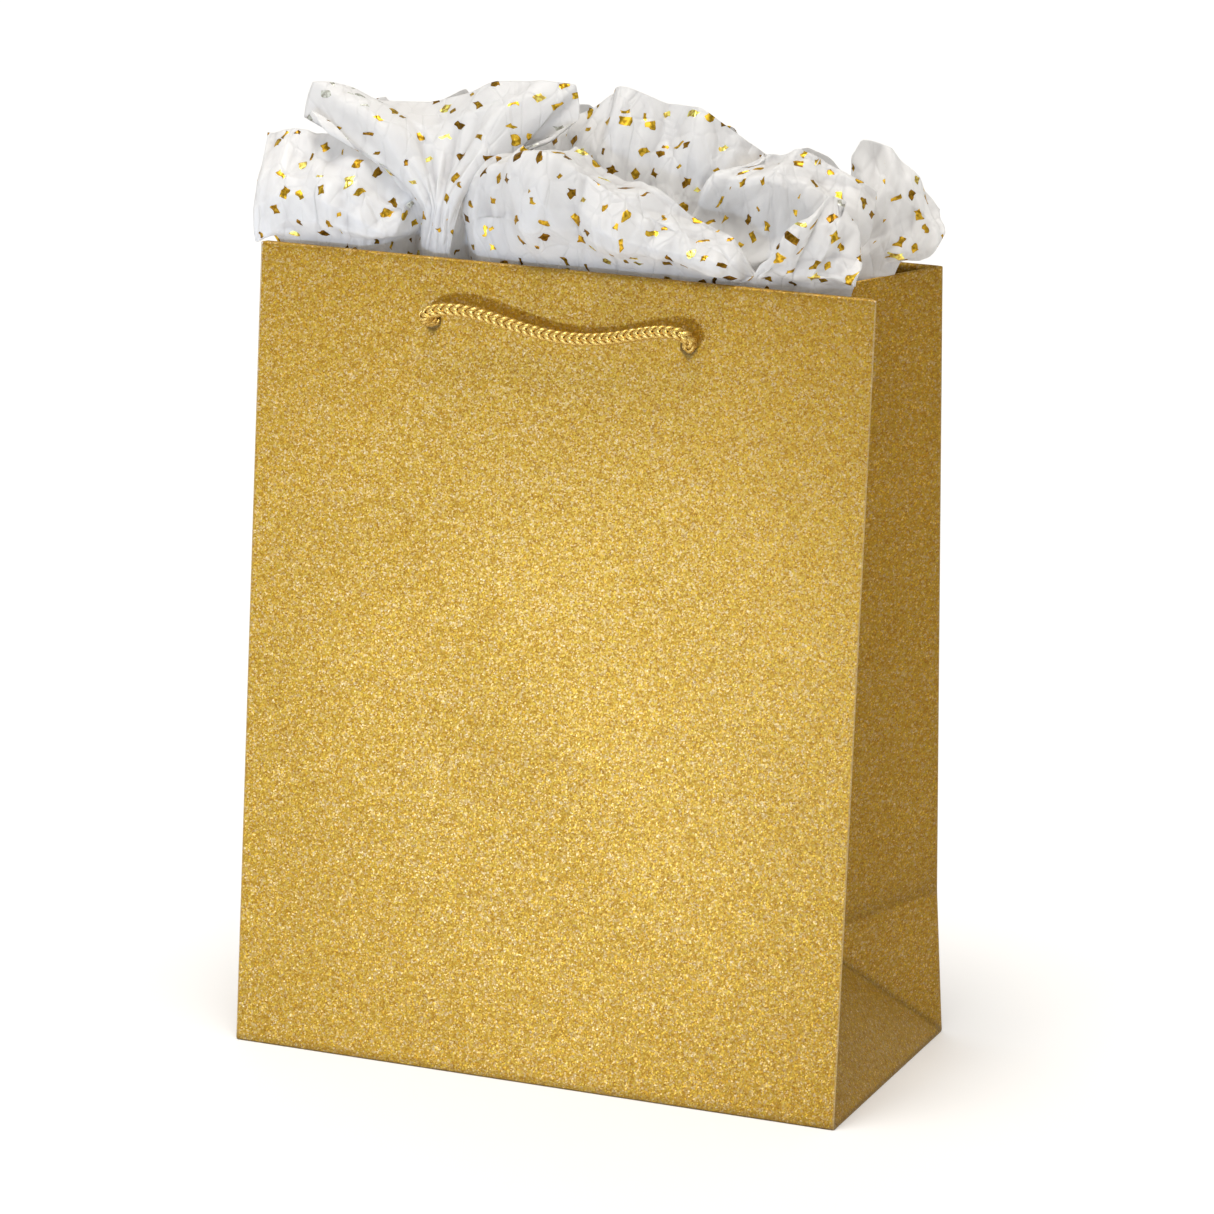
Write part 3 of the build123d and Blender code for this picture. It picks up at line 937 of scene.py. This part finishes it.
# Each sheet is drawn as ribs, in millimetres: where a rib crosses the bag's rim, two places above it, and its
# tip. The ribs run from left to right, and every one goes down to the sheet's gathered foot inside the bag.
FRONT_RIBS = [
    ((-98, -29, 256.4), (-103, -31.5, 254.6), (-104, -28, 272), (-106, -18, 287)),
    ((-87, -28, 256), (-93, -31, 262), (-96, -28, 275), (-98, -17, 289)),
    ((-78, -28, 256), (-81, -32, 263), (-83, -29, 276), (-88, -16, 288)),
    ((-68, -28, 256), (-69, -31, 261), (-67, -28, 272), (-68, -17, 284)),
    ((-62, -24, 256), (-60, -26, 260), (-54, -26, 267), (-49, -23, 276)),
    ((-57, -14, 256), (-55, -15, 261), (-51, -18, 269), (-47, -23, 276)),
    ((-50, -24, 256), (-48, -27, 269), (-68, -26, 283), (-92, -23, 293)),
    ((-48, -26, 256), (-45, -28, 270), (-63, -23, 289), (-90, -18, 304)),
    ((-46, -27, 256), (-43, -29, 270), (-54, -19, 290), (-72, -10, 298)),
    ((-44, -28, 256), (-42, -30, 271), (-45, -17, 291), (-51, -8, 302)),
    ((-42, -28, 256), (-39, -31, 272), (-34, -17, 293), (-33, -7, 306)),
    ((-40, -28, 256), (-36, -31, 273), (-24, -16, 294), (-18, -7, 308)),
    ((-39, -27, 256), (-33, -29, 274), (-17, -16, 292), (-7, -7, 308)),
    ((-38, -21, 256), (-34, -22, 272), (-20, -14, 287), (-5, -10, 298)),
    ((-37, -19, 256), (-36, -20, 269), (-28, -18, 284), (-18, -14, 288)),
    ((-30, -27, 256), (-31, -31, 268), (-27, -29, 283), (-19, -19, 290)),
    ((-18, -28, 256), (-19, -35, 269), (-16, -32, 288), (-10, -20, 292)),
    ((-4, -28, 256), (-5, -37, 269), (-5, -33, 289), (-1, -20, 292)),
    ((10, -28, 256), (9, -37, 268), (8, -33, 286), (12, -21, 287)),
    ((23, -28, 256), (22, -35, 265), (22, -33, 277), (26, -23, 281)),
    ((36, -28, 256), (36, -33, 262), (38, -32, 270), (41, -25, 275)),
    ((47, -28, 256), (49, -32, 260), (51, -31, 265), (54, -27, 269)),
    ((56, -27, 253), (55, -28, 255), (59, -28, 258), (61, -27, 259)),
    ((65, -28, 256), (67, -32, 261), (73, -32, 269), (79, -27, 279)),
    ((72, -25, 256), (74, -29, 261), (78, -29, 271), (83, -24, 284)),
    ((79, -28, 256), (80, -32, 260), (85, -31, 269), (88, -24, 283)),
    ((85, -26, 256), (87, -30, 260), (89, -27, 267), (89, -21, 276)),
    ((91, -25, 256), (93, -28, 259), (92, -25, 263), (90, -20, 269)),
]
MIDDLE_RIBS = [
    ((-62, -3, 256), (-77, -5, 266), (-92, 0, 279), (-96, 8, 288)),
    ((-57, 1, 256), (-68, 3, 268), (-80, 7, 283), (-81, 13, 293)),
    ((-52, -5, 256), (-60, -6, 269), (-68, 0, 283), (-69, 8, 292)),
    ((-44, 1, 256), (-48, 3, 269), (-54, 8, 285), (-55, 13, 296)),
    ((-34, -5, 256), (-36, -6, 269), (-40, 2, 285), (-42, 9, 296)),
    ((-23, 1, 256), (-24, 2, 269), (-25, 7, 284), (-26, 12, 293)),
    ((-13, -6, 256), (-13, -7, 269), (-12, -3, 283), (-9, 2, 295)),
    ((-4, -7, 256), (-2, -9, 271), (-1, -8, 288), (2, -2, 307)),
    ((6, -9, 256), (8, -12, 271), (8, -12, 290), (9, -3, 307)),
    ((14, -10, 256), (17, -13, 271), (18, -12, 290), (19, -4, 305)),
    ((22, -10, 256), (27, -13, 270), (30, -12, 288), (33, -4, 303)),
    ((29, -9, 256), (35, -11, 268), (41, -9, 282), (46, -2, 295)),
    ((35, -6, 256), (40, -8, 267), (47, -5, 279), (52, 2, 290)),
    ((40, -11, 256), (35, -15, 267), (42, -16, 282), (55, -8, 291)),
    ((45, -15, 256), (46, -17, 265), (51, -15, 282), (59, -6, 292)),
    ((49, -16, 256), (56, -17, 264), (61, -16, 285), (65, -6, 292)),
    ((53, -15, 256), (67, -17, 264), (72, -15, 285), (73, -5, 291)),
    ((56, -10, 256), (78, -13, 265), (83, -12, 279), (82, -5, 286)),
    ((57, -6, 256), (84, -8, 263), (90, -6, 273), (90, -3, 282)),
]
BACK_RIBS = [
    ((-86, 18, 257), (-97, 20, 264), (-102, 26, 275), (-101, 28, 286)),
    ((-77, 22, 256), (-83, 27, 266), (-86, 28, 280), (-84, 24, 293)),
    ((-66, 15, 256), (-69, 17, 267), (-71, 20, 281), (-70, 22, 290)),
    ((-54, 22, 256), (-56, 28, 267), (-57, 30, 283), (-57, 24, 297)),
    ((-40, 15, 256), (-40, 18, 267), (-41, 21, 281), (-42, 22, 290)),
    ((-27, 23, 256), (-27, 29, 268), (-28, 31, 284), (-29, 24, 296)),
    ((-12, 23, 256), (-12, 29, 267), (-12, 30, 282), (-13, 24, 293)),
    ((2, 15, 256), (2, 17, 266), (2, 20, 278), (2, 22, 286)),
    ((16, 22, 256), (16, 28, 267), (17, 29, 283), (17, 23, 295)),
    ((30, 21, 256), (31, 27, 266), (32, 28, 281), (32, 23, 292)),
    ((43, 14, 256), (45, 16, 264), (46, 19, 274), (47, 21, 282)),
    ((54, 21, 256), (57, 26, 265), (58, 27, 278), (58, 22, 288)),
    ((64, 14, 256), (69, 14, 263), (73, 15, 272), (76, 17, 281)),
    ((72, 13, 256), (78, 14, 265), (79, 15, 280), (78, 19, 293)),
    ((80, 15, 256), (87, 16, 265), (89, 17, 278), (86, 21, 291)),
    ((86, 17, 256), (93, 19, 260), (98, 21, 271), (95, 25, 282)),
    ((90, 20, 256), (95, 23, 258), (101, 26, 265), (100, 29, 272)),
]
# Where a sheet's back is turned to the front: from one rib to another, above a height.
TURNED_CORNER = (6.1, 7.9, 297 * MM)
ROLLED_EDGE = (12.6, 14.2, 286 * MM)
TISSUE_THICK = 0.12 * MM
# A sheet's foot and the waist above it, inside the bag, and how deep the foot's pleats are to either side.
FOOT_UP = 151 * MM
WAIST_UP = 205 * MM
FOOT_PLEAT = 2.2 * MM
# How far the waist has gone from the foot's place to the rim's, across the bag and from front to back.
WAIST_ACROSS = 0.45
WAIST_BACK = 0.25
# How far up the sheet each rib's points are: foot, waist, rim, two places above it and tip.
RIM_ALONG = 106 * MM
ALONG = np.array((0, 55 * MM, RIM_ALONG, 119 * MM, 136 * MM, 153 * MM))
# The slack paper between two ribs, beyond their distance.
RIB_SLACK = 4 * MM
# How round the sheet is at a rib, and at a rib's points: 1 is round and 0 is sharp.
RIB_ROUND = 0.3
POINT_ROUND = 0.6
# The mesh: its columns, and its rows below and above the part that shows.
TISSUE_COLUMNS = 440
SHOWN_FROM = 98 * MM
HIDDEN_ROWS = 36
SHOWN_ROWS = 100
# Crumples, as steepness, least and greatest length, number of waves and how far they lean.
LARGE_CRUMPLES = (0.21, (20 * MM, 55 * MM), 8, math.radians(90))
SMALL_CRUMPLES = (0.12, (7 * MM, 17 * MM), 6, math.radians(40))
# The share of its crumples a sheet keeps inside the bag, and how far above the rim it has them all.
CRUMPLED_INSIDE = 0.15
CRUMPLED_OVER = 16 * MM
# The columns in a strip of printed foil, and how far apart two strips lie on the paper.
STRIP = 44
STRIP_APART = 0.21
# The bend, per metre, that reads as a sharp crease, and what is added to the steps it is measured over.
SHARPEST_BEND = 500
STEP_EXTRA = 0.2 * MM


def through(points, places, wanted, roundness):
    """A curve through points at the given places, along the first axis, as cubic pieces."""
    gaps = np.diff(places)
    shape = (-1, *[1] * (points.ndim - 1))
    slopes = np.diff(points, axis=0) / gaps.reshape(shape)
    tangents = np.concatenate([slopes[:1], (slopes[1:] + slopes[:-1]) / 2, slopes[-1:]])
    index = np.clip(np.searchsorted(places, wanted, side="right") - 1, 0, len(places) - 2)
    h = gaps[index].reshape(shape)
    t = ((wanted - places[index]) / gaps[index]).reshape(shape)
    a, b, slope = points[index], points[index + 1], slopes[index]
    ta = slope + (tangents[index] - slope) * roundness
    tb = slope + (tangents[index + 1] - slope) * roundness
    square, cube = t**2, t**3
    return (
        a * (2 * cube - 3 * square + 1)
        + ta * h * (cube - 2 * square + t)
        + b * (3 * square - 2 * cube)
        + tb * h * (cube - square)
    )


def tissue_points(ribs, foot_half, foot_y):
    """A grid of points over a sheet drawn by its ribs, with its foot gathered into close pleats. Also the
    flat coordinates of its columns and rows, and where each column lies among the ribs."""
    above = np.array(ribs) * MM
    count = len(ribs)
    pleat = np.where(np.arange(count) % 2 == 0, 1, -1) * FOOT_PLEAT
    share = np.linspace(-1, 1, count)
    foot = np.stack([share * foot_half, foot_y + pleat, np.full(count, FOOT_UP)], axis=1)
    waist = foot * (1 - WAIST_ACROSS) + above[:, 0] * WAIST_ACROSS
    waist[:, 1] = foot_y * (1 - WAIST_BACK) + above[:, 0, 1] * WAIST_BACK
    waist[:, 2] = WAIST_UP
    control = np.concatenate([foot[:, None], waist[:, None], above], axis=1)
    reach = np.linalg.norm(np.diff(control[:, 2:].mean(axis=1), axis=0), axis=1)
    across = np.r_[0, np.cumsum(reach + RIB_SLACK)]
    hidden = np.linspace(0, SHOWN_FROM, HIDDEN_ROWS, endpoint=False)
    u = np.linspace(0, across[-1], TISSUE_COLUMNS)
    v = np.r_[hidden, np.linspace(SHOWN_FROM, ALONG[-1], SHOWN_ROWS)]
    filled = through(control, across, u, RIB_ROUND)
    grid = through(filled.transpose(1, 0, 2), ALONG, v, POINT_ROUND)
    return grid, u, v, np.interp(u, across, np.arange(count))


def crumple(u, v, seed, steepness, lengths, waves, lean):
    """Sharp-edged crumples over a sheet's flat coordinates: waves of folds, each at a chance angle and in
    patches."""
    chance = np.random.default_rng(seed)
    total = np.zeros_like(u)
    for _ in range(waves):
        angle = chance.uniform(-lean, lean)
        length = chance.uniform(*lengths)
        along = u * math.cos(angle) + v * math.sin(angle)
        beside = u * math.sin(angle) - v * math.cos(angle)
        bend = 0.08 * np.sin(beside / (0.5 * length) + chance.uniform(0, 6))
        phase = along / length + bend + chance.uniform(0, 1)
        patch = 0.5 + 0.5 * np.sin(along / (0.8 * length) + chance.uniform(0, 6)) * np.sin(beside / length)
        total += (np.abs(phase % 1 - 0.5) * 4 - 1) * patch * length / 4
    return steepness * total


def sheet_normals(grid):
    """The direction each place of a sheet faces."""
    normal = np.cross(np.gradient(grid, axis=1), np.gradient(grid, axis=0))
    return normal / (np.linalg.norm(normal, axis=-1, keepdims=True) + 1e-12)


def fold_values(grid):
    """How each place of a sheet is bent: 1 on a sharp ridge, 0 in a sharp hollow and 0.5 where flat."""
    normal = sheet_normals(grid)
    bend = np.zeros(grid.shape[:2])
    for axis in (0, 1):
        step = np.linalg.norm(np.gradient(grid, axis=axis), axis=-1) + STEP_EXTRA
        second = np.gradient(np.gradient(grid, axis=axis), axis=axis)
        bend -= (second * normal).sum(axis=-1) / step**2
    for _ in range(2):
        padded = np.pad(bend, 1, mode="edge")
        bend = (padded[:-2, 1:-1] + padded[2:, 1:-1] + padded[1:-1, :-2] + padded[1:-1, 2:] + 2 * bend) / 6
    return np.clip(0.5 + bend / SHARPEST_BEND, 0, 1)


def flat_places(grid, rim_row):
    """Where each place of a sheet lies on the flat paper: across from the middle of its strip of columns, up
    its column from the rim, and the strip's number. In strips, the foil's shape survives the fanning out."""
    rows, columns = grid.shape[:2]
    up_column = np.zeros((rows, columns))
    up_column[1:] = np.linalg.norm(np.diff(grid, axis=0), axis=-1).cumsum(axis=0)
    along_row = np.zeros((rows, columns))
    along_row[:, 1:] = np.linalg.norm(np.diff(grid, axis=1), axis=-1).cumsum(axis=1)
    strip = np.arange(columns) // STRIP
    middle = np.minimum(strip * STRIP + STRIP // 2, columns - 1)
    across = along_row - along_row[:, middle] + strip * STRIP_APART
    number = np.broadcast_to(strip, (rows, columns))
    return np.stack([across, up_column - up_column[rim_row], number], axis=-1)


def crumpled(grid, u, v, seed):
    """The sheet with crumples, which its gathering smooths inside the bag."""
    v, u = np.meshgrid(v, u, indexing="ij")
    large = crumple(u, v, seed, *LARGE_CRUMPLES)
    small = crumple(u, v, seed + 50, *SMALL_CRUMPLES)
    above_rim = np.clip((v - RIM_ALONG) / CRUMPLED_OVER, 0, 1)
    freedom = CRUMPLED_INSIDE + (1 - CRUMPLED_INSIDE) * above_rim
    return grid + sheet_normals(grid) * ((large + small) * freedom)[..., None]


def turn_back(piece, rib, turned):
    """Show the paper's back at the turned places."""
    for first, last, above in turned:
        for face in piece.data.polygons:
            if first < rib[face.vertices[0] % len(rib)] < last and face.center.z > above:
                face.material_index = 1


def make_tissue(name, ribs, foot_half, foot_y, seed, turned=()):
    """One sheet of tissue, gathered in the bag and spread above its rim."""
    smooth, u, v, rib = tissue_points(ribs, foot_half, foot_y)
    grid = crumpled(smooth, u, v, seed)
    faces = grid_faces(len(v), len(u))
    piece = new_object(f"{name}_sheet", grid.reshape(-1, 3), faces, [TISSUE, TISSUE_BACK])
    # How bent each place is, which the material turns into painted shade and highlight.
    put_values(piece, "fold", fold_values(grid))
    put_values(piece, "flat", flat_places(smooth, int(np.searchsorted(v, RIM_ALONG))))
    turn_back(piece, rib, turned)
    add_thickness(piece, TISSUE_THICK)
    finish_piece(piece, f"{name}_sheet", [f"{name}_tissue"])


make_tissue("front", FRONT_RIBS, 62 * MM, -21 * MM, 3, (TURNED_CORNER, ROLLED_EDGE))
make_tissue("middle", MIDDLE_RIBS, 50 * MM, -1.5 * MM, 11)
make_tissue("back", BACK_RIBS, 66 * MM, 14 * MM, 27)


# ------ what the CAD still shows

def finish_nodes(names, material):
    """Give CAD nodes that no piece replaces their material."""
    for name in names:
        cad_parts[name].data.materials.clear()
        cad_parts[name].data.materials.append(material)


finish_nodes(("front_stiffener", "back_stiffener", "base_board"), CARD_STOCK)
finish_nodes([f"base_{side}_flap" for side in ("front", "rear", "left", "right")], GLITTER)
finish_nodes(["side_seam_flap"], GLITTER)
